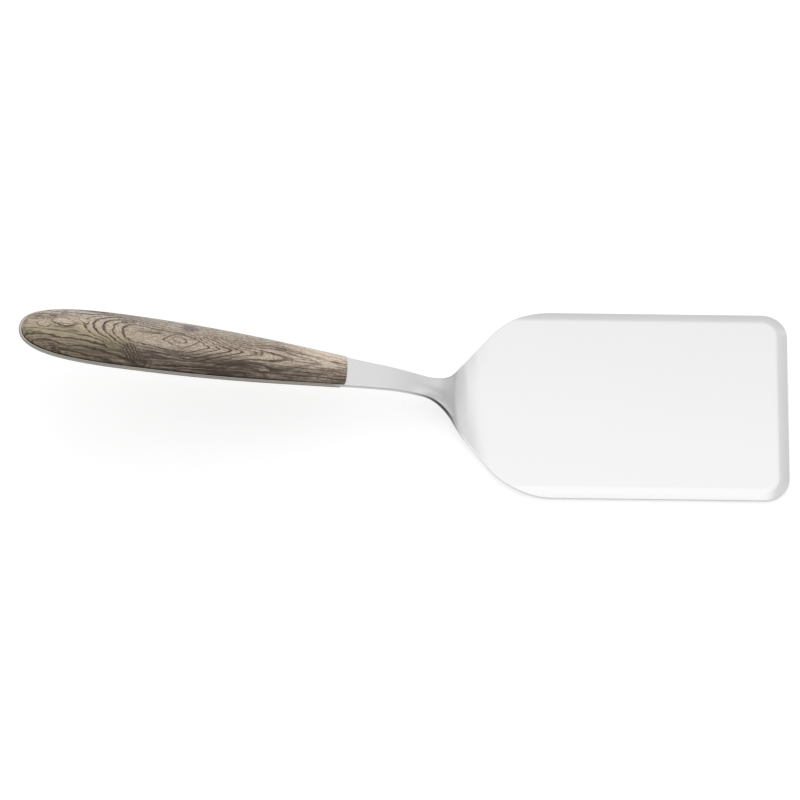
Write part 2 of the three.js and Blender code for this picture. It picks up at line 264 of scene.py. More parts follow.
class Wire:
    """A number, colour or vector in a material. Sums of wires add the nodes that work them out."""
    __add__, __radd__ = maths("ADD"), maths("ADD", True)
    __sub__, __rsub__ = maths("SUBTRACT"), maths("SUBTRACT", True)
    __mul__, __rmul__ = maths("MULTIPLY"), maths("MULTIPLY", True)
    __truediv__, __rtruediv__ = maths("DIVIDE"), maths("DIVIDE", True)
    __pow__, __rpow__ = maths("POWER"), maths("POWER", True)
    __gt__, __abs__ = maths("GREATER_THAN"), maths("ABSOLUTE")
    root, fraction, whole = maths("SQRT"), maths("FRACT"), maths("FLOOR")
    least, most, soft_most = maths("MINIMUM"), maths("MAXIMUM"), maths("SMOOTH_MAX")

    def __init__(self, sheet, socket):
        self.sheet = sheet
        self.socket = socket

    def held(self, low=0.0, high=1.0):
        """Kept between two values."""
        return self.most(low).least(high)

    def ramp(self, start, end):
        """0 up to start, 1 from end on, smooth between them. start may be more than end."""
        sockets = {"Value": self, "From Min": start, "From Max": end}
        return self.sheet.node("ShaderNodeMapRange", {"interpolation_type": "SMOOTHSTEP"}, sockets)

    def window(self, start, full, wane, end):
        """1 from full to wane, 0 outside start and end, smooth between them."""
        return self.ramp(start, full) * self.ramp(end, wane)

    def ramp_between(self, start, end):
        """As ramp, with wires for its ends, and straight between them."""
        return ((self - start) / (end - start)).held()

    def along(self, direction):
        """How far a vector reaches in a direction."""
        sockets = {0: self, 1: direction}
        return self.sheet.node("ShaderNodeVectorMath", {"operation": "DOT_PRODUCT"}, sockets, "Value")


class Sheet:
    """A node tree that is written as expressions."""

    def __init__(self, tree):
        self.tree = tree
        self.tree.nodes.clear()

    def node(self, kind, settings=None, sockets=None, output=0):
        """Adds a node, sets it up, fills or links its sockets and gives back the wire from its output."""
        added = self.tree.nodes.new(kind)
        for key, value in (settings or {}).items():
            setattr(added, key, value)
        for key, value in (sockets or {}).items():
            if isinstance(value, Wire):
                self.tree.links.new(value.socket, added.inputs[key])
            else:
                added.inputs[key].default_value = value
        if isinstance(output, tuple):
            return [Wire(self, added.outputs[name]) for name in output]
        return Wire(self, added.outputs[output]) if added.outputs else None

    def place(self, space="Object"):
        """Where the surface lies, or for the room the direction looked in."""
        return self.node("ShaderNodeTexCoord", None, None, space)

    def split(self, vector):
        return self.node("ShaderNodeSeparateXYZ", None, {0: vector}, ("X", "Y", "Z"))

    def vector(self, x, y, z):
        return self.node("ShaderNodeCombineXYZ", None, {0: x, 1: y, 2: z})

    def mix(self, amount, first, second, blend="MIX"):
        first, second = (each if isinstance(each, Wire) else (*each, 1.0) for each in (first, second))
        settings = {"data_type": "RGBA", "blend_type": blend}
        return self.node("ShaderNodeMix", settings, {0: amount, 6: first, 7: second}, 2)

    def tone(self, colour, amount):
        """A colour made lighter or darker by a factor."""
        return self.mix(1.0, colour, self.vector(amount, amount, amount), "MULTIPLY")

    def noise(self, place, size, detail=2.0, roughness=0.5):
        """Noise between -0.5 and 0.5. place holds three wires and size the lengths of its waves."""
        spread = self.vector(*(axis / wave for axis, wave in zip(place, size)))
        sockets = {"Vector": spread, "Scale": 1.0, "Detail": detail, "Roughness": roughness}
        return self.node("ShaderNodeTexNoise", {"noise_dimensions": "3D"}, sockets) - 0.5

    def bump(self, height, strength, distance):
        return self.node("ShaderNodeBump", None, {"Height": height, "Strength": strength, "Distance": distance})


def material(name):
    made = bpy.data.materials.new(name)
    made.use_nodes = True
    return made, Sheet(made.node_tree)


def surfaced(sheet, **values):
    """Ends a material in one Principled surface. Underscores in a name stand for spaces."""
    sockets = {key.replace("_", " "): value for key, value in values.items()}
    surface = sheet.node("ShaderNodeBsdfPrincipled", None, sockets)
    sheet.node("ShaderNodeOutputMaterial", None, {"Surface": surface})


def steel_finish(name, colour, roughness, zones):
    """Polished stainless steel with the faint lengthwise lines of its last brushing. Each zone is a tone and the
    window of the plate's length that has it."""
    made, sheet = material(name)
    place = sheet.split(sheet.place())
    brushed = sheet.noise(place, (30 * MM, 0.12 * MM, 0.12 * MM), 3.0, 0.6)
    cloud = sheet.noise(place, (45 * MM, 30 * MM, 30 * MM))
    # Each zone's tone is shade painted into the steel's colour.
    for tone, stretch in zones:
        colour = sheet.mix((place[0] / MM).window(*stretch), colour, tone)
    surfaced(
        sheet,
        Base_Color=sheet.tone(colour, 1.0 + 0.05 * brushed + 0.03 * cloud),
        Metallic=1.0,
        Roughness=(roughness + 0.1 * brushed + 0.05 * cloud).most(0.05),
        Normal=sheet.bump(brushed, 0.06, 0.02 * MM),
    )
    return made


def brass_finish(name, colour, slope):
    """Turned brass: fine rings round the dowel and a slightly dull skin."""
    made, sheet = material(name)
    place = sheet.place()
    up = place.along((sin(slope), 0.0, cos(slope)))
    back = place.along((cos(slope), 0.0, -sin(slope)))
    side = place.along((0.0, 1.0, 0.0))
    turned = sheet.noise((back, side, up), (4 * MM, 4 * MM, 0.1 * MM))
    dull = sheet.noise((back, side, up), (2 * MM, 2 * MM, 2 * MM), 3.0)
    surfaced(
        sheet,
        Base_Color=sheet.tone(colour, 1.0 + 0.25 * dull),
        Metallic=1.0,
        Roughness=0.34 + 0.2 * dull,
        Normal=sheet.bump(turned, 0.3, 0.05 * MM),
    )
    return made


# Where the marks of a board lie, in millimetres forward from the handle's tip and across from its middle. The
# middle of the rings is given in front and at the rear. Knots are places with a size, islands have half sizes and
# dashes have those and a lean.
Figure = namedtuple("Figure", "shift rear front middle eye burl stain knots islands dashes")
UPPER_FIGURE = Figure(
    shift=0.0, rear=39.8, front=75.0, middle=(-1.2, 1.9), eye=(62.6, -0.1), burl=(43.3, -7.4), stain=(65.7, 6.4),
    knots=[(40.7, 5.0, 1.6), (43.6, 5.9, 1.3), (18.8, -9.3, 1.0), (49.3, -10.4, 2.2), (117.4, 1.4, 1.1)],
    islands=[(16.6, 1.6, 4.6, 1.9), (8.6, -0.2, 2.6, 1.1), (24.5, 3.2, 1.8, 1.6)],
    dashes=[(51.2, 1.9, 5.8, 0.5, 0.0), (106.0, 2.6, 11.0, 0.5, -0.083), (125.5, 0.6, 6.0, 0.5, -0.05),
            (124.0, -3.0, 8.0, 0.6, 0.065), (94.4, -0.9, 0.9, 1.2, 0.0), (105.8, -1.4, 2.0, 0.8, 0.0)],
)
LOWER_FIGURE = Figure(
    shift=137.0, rear=58.0, front=92.0, middle=(0.0, -1.5), eye=(81.0, -1.5), burl=(98.0, 5.0),
    stain=(70.0, -6.0), knots=[(35.0, 4.0, 1.6), (22.0, -5.0, 1.2)], islands=[(14.0, 2.0, 4.0, 1.6)],
    dashes=[(68.0, 0.0, 5.8, 0.5, 0.0)],
)


def growth_rings(figure, a, u):
    """The number of growth rings cut between the innermost one and a place, on a board sawn beside the heart.
    Rings are blunt towards the tip and pointed towards the blade. Outside them the grain runs along."""
    away, far_side = abs(u), u > 0.0
    blunt = (figure.rear - a + 0.36 * (away - 0.9).most(0.0) ** 2.0) / 3.85
    to_tip = 4.45 + 0.08 * away + (away - 4.3 - 0.07 * (a - 16.0)).most(0.0) / 2.6
    beside = (away - 3.7 - 0.8 * far_side) / 1.05
    pitch = a - figure.front
    ahead = (pitch / 4.2).least(3.0 + (pitch - 12.5) / 5.9).least(4.0 + (pitch - 18.4) / 12.4)
    widen = 1.0 - 0.6 * pitch.ramp(10.0, 28.0)
    far = 1.0 + 0.6 * far_side * pitch.ramp(-12.0, 6.0)
    pointed = ahead + 0.7 * ((u * u + 0.5).root() - 0.5) * widen * far
    return blunt.least(to_tip).soft_most(beside, 0.5).soft_most(pointed, 0.3)


def oval(along, across, centre, size, power=2.0):
    """Distance from an oval's middle, 1 on its edge. A power near 1 points its ends."""
    a, v = centre
    half_length, half_width = size
    return (abs((along - a) / half_length) ** power + abs((across - v) / half_width) ** power) ** (1.0 / power)


def wood_finish(name, looks, figure, tip, slope):
    """Grey-brown open-grained wood. Its growth rings show as nested ovals with dark, wavering lines."""
    made, sheet = material(name)
    place = sheet.place()
    forward = (cos(slope) / MM, 0.0, -sin(slope) / MM)
    upward = (sin(slope) / MM, 0.0, cos(slope) / MM)
    along = place.along(forward) - Vector(forward).dot(tip)
    height = place.along(upward) - Vector(upward).dot(tip)
    across = place.along((0.0, 1.0 / MM, 0.0))
    spot = (along + figure.shift, across, height)

    # The rings wander as the tree grew, and waver along their length.
    waver = sheet.noise(spot, (6.0, 2.2, 4.0))
    shiver = sheet.noise(spot, (1.6, 1.0, 1.5))
    drift = sheet.noise(spot, (24.0, 8.0, 12.0), 1.0)
    a = along + 2.2 * drift + 1.8 * waver + 1.4 * shiver
    v = across + drift + 1.1 * waver + 0.7 * shiver
    middle, rear_middle = figure.middle
    u = v - middle - (rear_middle - middle) * a.ramp(figure.rear + 22.0, figure.rear - 16.0)
    ring = growth_rings(figure, a, u)
    ring = ring + (0.3 + 1.8 * along.ramp(26.0, 16.0)) * sheet.noise(spot, (12.0, 2.6, 6.0))

    # Each ring ends in a dark line, finer where the rings lie close, and the wood darkens a little towards it.
    number = (ring + 0.5).whole() + figure.shift
    random = sheet.node("ShaderNodeTexWhiteNoise", {"noise_dimensions": "1D"}, {"W": number})
    crowd = abs(u).ramp(2.0, 6.5) * along.ramp(22.0, 34.0)
    thick = 0.15 + 0.11 * crowd + 0.05 * random
    near_line = abs((ring + 0.5).fraction() - 0.5)
    broken = sheet.noise(spot, (5.0, 1.0, 1.0), 3.0, 0.7)
    line = near_line.ramp_between(1.1 * thick, 0.4 * thick)
    line = line * (0.75 + 0.3 * random + 1.7 * broken).held(0.15)
    line = line * (1.0 - 0.55 * u.ramp(2.5, 6.0) * along.ramp(40.0, 60.0))
    line = line * (1.0 - u.ramp(-6.0, -9.5) * along.ramp(46.0, 58.0))
    line = line * (1.0 - along.ramp(24.0, 15.0) * across.ramp(-3.5, -0.5)) * (1.0 - 0.5 * along.ramp(98.0, 112.0))
    late = ring.fraction() ** 2.0

    # Inside the innermost ring lies the eye, a small oval in a pointed one.
    eye_a, eye_v = figure.eye
    outline = abs(oval(a + 0.25 * v, v - 0.1 * a, (eye_a + 0.2, eye_v - 6.3), (7.3, 3.2), 1.2) - 1.0)
    pupil = oval(a + 0.5 * v, v, (eye_a - 0.4, eye_v + 0.2), (2.5, 1.5), 1.7)
    pupil_line = abs(pupil - 1.0).ramp(0.26, 0.06) * (0.7 + 0.25 * (a - eye_a)).held(0.5)
    eye = (outline.ramp(0.13, 0.03) * (0.85 + 1.8 * broken).held(0.3)).most(pupil_line)
    dark = (line * ring.ramp(-0.6, -0.2)).most(eye * 0.85)
    for dash_a, dash_v, reach, width, lean in figure.dashes:
        dash = oval(a, v - lean * a, (dash_a, dash_v - lean * dash_a), (reach, width))
        dark = dark.most(dash.ramp(1.4, 0.4) * (0.75 + 2.0 * broken))

    # The burl: the grain turns down round it in dark strands. Knots have a dark heart and a ring.
    burl_a, burl_v = figure.burl
    burl = oval(along + 0.6 * across, across, (burl_a + 0.6 * burl_v, burl_v), (4.7, 3.7))
    burl = burl + 1.3 * waver + 0.9 * shiver
    strands = (0.75 * along + 0.45 * across + 1.5 * waver + shiver).fraction()
    dark = dark.most(burl.ramp(1.25, 0.8) * (0.3 + 0.65 * abs(strands - 0.5).ramp(0.12, 0.34)))
    halo = 0.0
    for knot_a, knot_v, size in figure.knots:
        knot = oval(along, across, (knot_a, knot_v), (size, 0.72 * size)) + 0.5 * waver + 0.3 * shiver
        dark = dark.most(knot.ramp(0.6, 0.25) * 0.9).most(abs(knot - 1.0).ramp(0.3, 0.08) * 0.6)
        halo = knot.ramp(2.2, 1.2) * knot.ramp(1.0, 1.3) + halo

    # Islands: pale patches of slanting grain, with the ring's line drawn round their near and rear sides.
    for island_a, island_v, reach, width in figure.islands:
        island = oval(along + 0.5 * across, across, (island_a + 0.5 * island_v, island_v), (reach, width), 1.6)
        island = island + 0.7 * waver + 0.5 * shiver
        around = (0.5 + 0.3 * (island_v - across)).held(0.15)
        dark = (dark * island.ramp(0.8, 1.0)).most(abs(island - 1.0).ramp(0.26, 0.08) * around)
        halo = island.ramp(1.0, 0.8) + halo

    # Where no ring is cut the grain shows as thin lines and dashes, which close up as the handle narrows. The
    # wood is denser on the near side, and open pores lie all over.
    lane = across / (1.0 - 0.0059 * (along - 45.0).most(0.0))
    run = (along + figure.shift, lane, height)
    grain = abs(sheet.noise(run, (34.0, 2.0, 4.0), 2.0, 0.6) + 0.05 * shiver).ramp(0.045, 0.012)
    flank = lane.ramp(-2.5, -9.0)
    past_burl = along.ramp(38.0, 52.0)
    dashes = sheet.noise(run, (11.0, 0.9, 1.2), 2.0, 0.6)
    parallel = (0.5 * lane + 0.9 * drift + 0.4 * waver + 0.25 * shiver).fraction()
    hatch = (abs(parallel - 0.5) - 0.04 * flank - 0.12 * dashes).ramp(0.13, 0.05) * dashes.ramp(-0.12, 0.0)
    streak = sheet.noise(run, (18.0, 0.56, 0.9), 3.0, 0.65)
    fine = sheet.noise(spot, (3.0, 0.45, 0.6), 3.0, 0.8)
    mottle = sheet.noise(spot, (0.9, 0.6, 0.7), 2.0, 0.65)
    pores = sheet.noise(spot, (2.2, 0.4, 0.5), 2.0, 0.6).ramp(0.08, 0.2)
    far_edge = across.ramp(5.0, 8.0)
    bare = along.ramp(26.0, 15.0).most(flank * past_burl).most(far_edge * 0.6)
    dark = dark.most(grain * bare * (0.65 + 1.6 * broken))
    bare = (lane.ramp(-4.0, -7.5) * past_burl).most(along.ramp(98.0, 110.0) * lane.ramp(6.0, 2.0))
    dark = dark.most(hatch * bare.most(far_edge * 0.4))
    near_front = 1.0 - 0.62 * along.ramp(78.0, 112.0)
    dark = dark.most(streak.ramp(0.04, 0.09) * flank * (0.3 + 0.7 * past_burl) * near_front)
    dark = dark.most(pores * (0.45 + 0.3 * flank)).held()

    # The ground: light and mid by the ring, warmer and cooler by patches, brown on the flank, partly painted
    # shade, a painted grey sheen on the far side, pale in front.
    patch = sheet.noise(spot, (26.0, 6.0, 9.0))
    tone = 0.5 + 0.35 * late + patch + 3.0 * fine + 3.0 * mottle + 0.2 * crowd - 0.35 * halo
    olive = across.ramp(3.0, -4.0) * along.ramp(56.0, 34.0) * (0.7 + 1.8 * patch)
    # Partly painted shade: the near flank's brown stands both for the wood's own darker tone and for shade on the
    # flank.
    brown = lane.ramp(-2.8, -8.2) * (0.5 + 0.3 * past_burl + 0.8 * patch + 2.8 * streak) * near_front
    # Painted sheen: the far side turns a lighter grey, as if it reflected at a grazing angle. The faint patch in
    # the middle is the wood's own grey.
    far_sheen_and_grey = across.ramp(3.0, 8.0).most(along.window(36.0, 46.0, 60.0, 74.0) * 0.12)
    far_sheen_and_grey = far_sheen_and_grey * (0.6 + 1.3 * patch - 2.4 * fine - 2.0 * mottle)
    stain = oval(along, across, figure.stain, (4.0, 1.8)) + waver
    pale = along.ramp(97.0, 124.0) * lane.ramp(-8.0, 6.0) * (0.95 - 2.0 * fine - 1.6 * mottle)
    colour = looks.wood_light
    for amount, wood in (
        (tone.held(), looks.wood_mid),
        ((tone - 0.9).held(high=0.7) * 0.8, looks.wood_brown_and_shade),
        (olive.held(high=0.7), looks.wood_olive),
        (brown.held(high=0.95), looks.wood_brown_and_shade),
        (far_sheen_and_grey.held(high=0.9), looks.wood_grey_and_sheen),
        (stain.ramp(1.2, 0.5) * 0.7, looks.wood_stain),
        (pale.held(), looks.wood_pale),
        (dark * 0.93, looks.wood_dark),
    ):
        colour = sheet.mix(amount, colour, wood)
    surfaced(
        sheet,
        Base_Color=colour,
        Roughness=(0.5 + 0.25 * dark + 0.25 * fine).least(0.9),
        Coat_Weight=0.22,
        Coat_Roughness=0.35,
        Normal=sheet.bump(0.35 * fine - dark, 0.4, 0.12 * MM),
    )
    return made


def table_finish(name, colour, glow):
    """A white table. The camera and the steel see it glow, so that it is white round a faint shadow."""
    made, sheet = material(name)
    cloud = sheet.noise(sheet.split(sheet.place()), (0.3, 0.3, 0.3))
    matt = sheet.node("ShaderNodeBsdfDiffuse", None, {"Color": sheet.tone(colour, 1.0 + 0.01 * cloud)})
    camera, glossy = sheet.node("ShaderNodeLightPath", None, None, ("Is Camera Ray", "Is Glossy Ray"))
    shine = sheet.node("ShaderNodeEmission", None, {"Color": WHITE, "Strength": glow * camera.most(glossy)})
    surface = sheet.node("ShaderNodeAddShader", None, {0: matt, 1: shine})
    sheet.node("ShaderNodeOutputMaterial", None, {"Surface": surface})
    return made


# How far a bend from one slope to another runs back and up, as shares of its length.
def run_back(start, end):
    return cos(start) if start == end else (sin(end) - sin(start)) / (end - start)


def run_up(start, end):
    return sin(start) if start == end else (cos(start) - cos(end)) / (end - start)


# Each stretch of the outline gives, for a share of it, the place and the direction in which it runs.
def straight(first, last):
    run = Vector(last) - Vector(first)
    return lambda t: (Vector(first) + run * t, run.normalized())


def arc(s, w, radius, start, end):
    sense = 1 if end > start else -1

    def point(t):
        turn = start + (end - start) * t
        across = Vector((cos(turn), sin(turn)))
        return Vector((s, w)) + across * radius, Vector((-across.y, across.x)) * sense
    return point


def bezier(*points):
    p = [Vector(each) for each in points]

    def point(t):
        u = 1 - t
        place = p[0] * u ** 3 + p[1] * 3 * u * u * t + p[2] * 3 * u * t * t + p[3] * t ** 3
        run = (p[1] - p[0]) * u * u + (p[2] - p[1]) * 2 * u * t + (p[3] - p[2]) * t * t
        return place, run.normalized()
    return point


class FormedSheet:
    """The steel sheet. Places on its flat blank are s, the distance back from the front edge, and w, the distance
    from the middle line. The blank is bent along its side profile, and its lip is folded down."""

    def __init__(self, sizes):
        self.sizes = sizes
        self.half_sheet = sizes.sheet / 2
        side_lean = self._lean(sizes.lip_angle)
        tip_lean = self._lean(sizes.tip_angle)
        self.half_blade = sizes.blade_width / 2 - side_lean
        self.fold_reach = sizes.lip_fold_radius * sin(sizes.lip_angle)
        self.runs = []
        self.length = 0.0
        x, z = sizes.total_length / 2 - side_lean, 0.0
        bend = sizes.rise_angle - sizes.handle_angle
        for run_length, start, end in (
            (sizes.blade_flat, 0.0, 0.0),
            (sizes.ease_length, 0.0, sizes.ease_angle),
            (sizes.rise_radius * (sizes.rise_angle - sizes.ease_angle), sizes.ease_angle, sizes.rise_angle),
            (sizes.rise_straight, sizes.rise_angle, sizes.rise_angle),
            (sizes.neck_bend_radius * bend, sizes.rise_angle, sizes.handle_angle),
            (None, sizes.handle_angle, sizes.tip_angle),
        ):
            if run_length is None:
                run_length = (x + sizes.total_length / 2 - tip_lean) / run_back(start, end)
            self.runs.append((self.length, run_length, start, end, x, z))
            self.length += run_length
            x -= run_length * run_back(start, end)
            z += run_length * run_up(start, end)
        self.tip = Vector((x, 0.0, z))
        self._draw_outline()

    def _lean(self, slope):
        """How far the rounded edge of a sloping sheet reaches out past the sheet's middle."""
        rounding = self.sizes.edge_round
        return (self.half_sheet - rounding) * sin(slope) + rounding * (hypot(1, sin(slope)) - 1)

    def profile(self, s):
        """The place of the sheet's middle at s, and its directions back and up."""
        begin, run_length, start, end, x, z = [run for run in self.runs if run[0] <= max(s, 0.0)][-1]
        far = s - begin
        slope = start + (end - start) * far / run_length
        place = Vector((x - far * run_back(start, slope), 0.0, z + far * run_up(start, slope)))
        return place, Vector((-cos(slope), 0.0, sin(slope))), Vector((sin(slope), 0.0, cos(slope)))

    def _draw_outline(self):
        z = self.sizes
        turn_in = 1 - cos(z.shoulder_angle)
        shoulder_end = z.side_length + z.shoulder_radius * sin(z.shoulder_angle)
        shoulder_half = self.half_blade - z.shoulder_radius * turn_in
        throat_half = z.neck_width / 2 + z.throat_radius * turn_in
        throat_start = shoulder_end + (shoulder_half - throat_half) / tan(z.shoulder_angle)
        throat_middle = throat_start + z.throat_radius * sin(z.shoulder_angle)
        neck_start = throat_middle + z.throat_radius * sin(z.neck_taper)
        neck_half = z.neck_width / 2 + z.throat_radius * (1 - cos(z.neck_taper))
        belly, half_belly = self.length - z.belly_from_tip, z.belly_width / 2
        swell = belly - neck_start
        self.corner = arc(z.corner_radius, self.half_blade - z.corner_radius, z.corner_radius, pi, QUARTER)
        self.side = straight((z.corner_radius, self.half_blade), (z.side_length, self.half_blade))
        self.shoulder = arc(z.side_length, self.half_blade - z.shoulder_radius, z.shoulder_radius, QUARTER,
                            QUARTER - z.shoulder_angle)
        self.diagonal = straight((shoulder_end, shoulder_half), (throat_start, throat_half))
        self.throat = arc(throat_middle, z.neck_width / 2 + z.throat_radius, z.throat_radius,
                          -QUARTER - z.shoulder_angle, z.neck_taper - QUARTER)
        self.swelling = bezier(
            (neck_start, neck_half),
            (neck_start + swell * z.neck_pull, neck_half + swell * z.neck_pull * tan(z.neck_taper)),
            (belly - swell * z.belly_pull, half_belly),
            (belly, half_belly),
        )
        self.rounding = bezier(
            (belly, half_belly),
            (belly + z.belly_from_tip * z.tip_reach, half_belly),
            (self.length, half_belly * z.tip_fullness),
            (self.length, 0.0),
        )
        self.widths = [tuple(stretch(i / WIDTH_SAMPLES)[0])
                       for stretch in (self.shoulder, self.diagonal, self.throat, self.swelling)
                       for i in range(WIDTH_SAMPLES)]

    def dished(self, s, w):
        """How much later the rise sets in beside the middle line, and how far the sheet stands up there."""
        late, raised = window(s / MM, *BOWED), window(s / MM, *DISHED)
        if late == raised == 0:
            return 0.0, 0.0
        after = max(bisect(self.widths, (s,)), 1)
        (s1, w1), (s2, w2) = self.widths[after - 1:after + 1]
        towards_edge = (w / (w1 + (w2 - w1) * (s - s1) / (s2 - s1))) ** 2
        return self.sizes.bend_bow * late * towards_edge, self.sizes.hollow_depth * raised * towards_edge

    def beyond_fold(self, s, w):
        """How far a place lies outside the lip's fold line, and the way out."""
        z = self.sizes
        radius = max(z.corner_radius - z.lip_width, z.edge_round)
        to_front = z.lip_width + radius - s
        to_side = w - (self.half_blade - z.lip_width - radius)
        if to_front > 0 and to_side > 0:
            reach = hypot(to_front, to_side)
            return reach - radius, -to_front / reach, to_side / reach
        return (to_side - radius, 0.0, 1.0) if to_side >= to_front else (to_front - radius, -1.0, 0.0)

    def lip(self, distance):
        """The lip's drop and slope at a distance outside the fold line."""
        z = self.sizes
        if distance <= 0:
            return 0.0, 0.0
        slope = asin(distance / z.lip_fold_radius) if distance < self.fold_reach else z.lip_angle
        drop = z.lip_fold_radius * (1 - cos(slope))
        return drop + max(distance - self.fold_reach, 0.0) * tan(z.lip_angle), slope

    def formed(self, s, w, height, side):
        """The place of a point of the blank once the sheet is formed."""
        late, raised = self.dished(s, w)
        place, back, up = self.profile(s - late)
        distance, out_s, out_w = self.beyond_fold(s, w)
        drop, slope = self.lip(distance)
        lean = height * sin(slope)
        place = place + up * (height * cos(slope) - drop + raised) + back * (lean * out_s + late)
        return place + Vector((0.0, side * (w + lean * out_w), 0.0))


class Station:
    """A place on the outline, the way out from it there, and how much a piece is drawn in or bulges at it."""

    def __init__(self, s, w, out_s, out_w):
        self.s, self.w, self.out_s, self.out_w = s, w, out_s, out_w
        self.drawn_in = self.bulge = 0.0

    def moved_in(self, distance):
        return self.s - self.out_s * distance, self.w - self.out_w * distance


def stations_on(stretch, steps, start=0.0, end=1.0):
    found = []
    for i in range(steps + 1):
        place, run = stretch(start + (end - start) * i / steps)
        found.append(Station(place.x, place.y, -run.y, run.x))
    return found


def share_at(stretch, s):
    """The share of a stretch at which it lies s back from the front edge."""
    low, high = 0.0, 1.0
    for _ in range(HALVINGS):
        middle = (low + high) / 2
        if stretch(middle)[0].x < s:
            low = middle
        else:
            high = middle
    return low


def skinned(name, blank, stations, rings):
    """A closed mesh through rings that run round the same stations, from the top one to the bottom one, and the
    number of the band between rings that each face is in. The last station is the tip, which both sides share."""
    tip = len(stations) - 1
    round_count = 2 * tip + 1
    corners, faces, bands = [], [], []
    for ring in rings:
        marks = [ring(station) for station in stations]
        corners += [blank.formed(*mark, 1) for mark in reversed(marks)]
        corners += [blank.formed(*mark, -1) for mark in marks[:-1]]
    for r in range(len(rings) - 1):
        for j in range(round_count):
            a, b = r * round_count + j, r * round_count + (j + 1) % round_count
            faces.append((a, b, b + round_count, a + round_count))
            bands.append(r)
    bottom = (len(rings) - 1) * round_count
    for j in range(tip):
        here, across, after = (round_count - j) % round_count, round_count - j - 1, j + 1
        top = (here, across, after) if j == 0 else (here, across, after, j)
        faces.append(top)
        faces.append(tuple(bottom + corner for corner in reversed(top)))
        bands += [None, None]
    mesh = bpy.data.meshes.new(name)
    mesh.from_pydata([tuple(corner) for corner in corners], [], faces)
    return mesh, bands


def cleaned(mesh):
    """Joins corners that meet and turns every face out."""
    work = bmesh.new()
    work.from_mesh(mesh)
    bmesh.ops.remove_doubles(work, verts=work.verts, dist=JOIN_WITHIN)
    bmesh.ops.dissolve_degenerate(work, edges=work.edges, dist=JOIN_WITHIN)
    bmesh.ops.recalc_face_normals(work, faces=work.faces)
    work.to_mesh(mesh)
    work.free()
    mesh.shade_smooth()
    return mesh


def placed(context, name, mesh, replaced, materials):
    """Puts a piece in the scene on the server's one body, in the place of its plain solid."""
    piece = bpy.data.objects.new(name, mesh)
    context.scene.collection.objects.link(piece)
    for each in materials:
        mesh.materials.append(each)
    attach(piece, "root")
    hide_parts(replaced)


def lifted(blank):
    """How far the blade's flat lies over the table, from the plate's own solid."""
    z = blank.sizes
    top = blank.tip.z + (blank.half_sheet - z.edge_round) * cos(z.tip_angle)
    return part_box("server_plate")[1][2] - top - z.edge_round


def drilled(context, mesh, blank, wood):
    """Cuts the dowels' holes out of a piece that still lies at the height at which the sheet was formed."""
    drill = bmesh.new()
    front = blank.length - wood.upper_length
    radius = wood.dowel_radius + wood.dowel_fit
    for place in wood.dowel_places:
        point, back, up = blank.profile(front + wood.upper_length * place)
        axes = Matrix((back, up.cross(back), up)).transposed().to_4x4()
        bmesh.ops.create_cone(drill, cap_ends=True, segments=HOLE_SIDES, radius1=radius, radius2=radius,
                              depth=wood.dowel_hole, matrix=Matrix.Translation(point) @ axes)
    drill_mesh = bpy.data.meshes.new("drill")
    drill.to_mesh(drill_mesh)
    drill.free()
    piece, tool = (bpy.data.objects.new(name, each) for name, each in (("undrilled", mesh), ("drill", drill_mesh)))
    context.scene.collection.objects.link(piece)
    context.scene.collection.objects.link(tool)
    cut = piece.modifiers.new("holes", "BOOLEAN")
    cut.operation, cut.solver, cut.object = "DIFFERENCE", "EXACT", tool
    context.view_layer.update()
    made = bpy.data.meshes.new_from_object(piece.evaluated_get(context.evaluated_depsgraph_get()))
    made.name = mesh.name + "_drilled"
    bpy.data.objects.remove(piece)
    bpy.data.objects.remove(tool)
    return cleaned(made)


def plate_stations(blank):
    """The stations round the plate. The shoulder is cut in two where the lip dies out on it."""
    z = blank.sizes
    lip_ends = acos((z.shoulder_radius - z.lip_width) / (z.shoulder_radius - z.edge_round))
    lip_end = min(lip_ends / z.shoulder_angle, 1.0)
    stretches = ((blank.corner,), (blank.side,), (blank.shoulder, 0.0, lip_end), (blank.shoulder, lip_end),
                 (blank.diagonal,), (blank.throat,), (blank.swelling,), (blank.rounding,))
    found = []
    for (stretch, *part), steps in zip(stretches, OUTLINE_STEPS):
        found += stations_on(stretch, steps, *part)[1 if found else 0:]
    return found


def plate_rings(blank):
    """The rings over the plate, from its top to its underside, and the bands between them that are cut edge."""
    z = blank.sizes

    def edge(turn, side):
        inwards = z.edge_round * (1 - cos(turn))
        height = blank.half_sheet - z.edge_round * (1 - sin(turn))
        return lambda station: (*station.moved_in(inwards), side * height)

    def face(inset, level, side):
        def mark(station):
            s, w = station.moved_in(z.edge_round + inset)
            distance, out_s, out_w = blank.beyond_fold(s, w)
            inwards = max(distance - level, 0.0)
            return s - out_s * inwards, w - out_w * inwards, side * blank.half_sheet
        return mark

    def middle(part, rim):
        def mark(station):
            s, w, height = rim(station)
            return s + DRAWN_BACK * max(DRAWN_BACK_TO - s, 0.0) * (1 - part), w * part, height
        return mark

    fold = [z.lip_fold_radius * sin(z.lip_angle * i / FOLD_STEPS) for i in range(FOLD_STEPS, -1, -1)]
    levels = [blank.fold_reach + PAST_FOLD, *fold, *BEFORE_FOLD]

    def half(side):
        inner = [face(FIRST_INSET + RING_INSET * i, level, side) for i, level in enumerate(levels)]
        outer = [edge(QUARTER * i / EDGE_STEPS, side) for i in range(EDGE_STEPS, -1, -1)]
        return [middle(part, inner[-1]) for part in MIDDLE_SHARES] + inner[::-1] + outer

    rings = half(1) + half(-1)[::-1]
    before_edge = len(MIDDLE_SHARES) + len(levels)
    return rings, range(before_edge + 1, len(rings) - before_edge - 2)


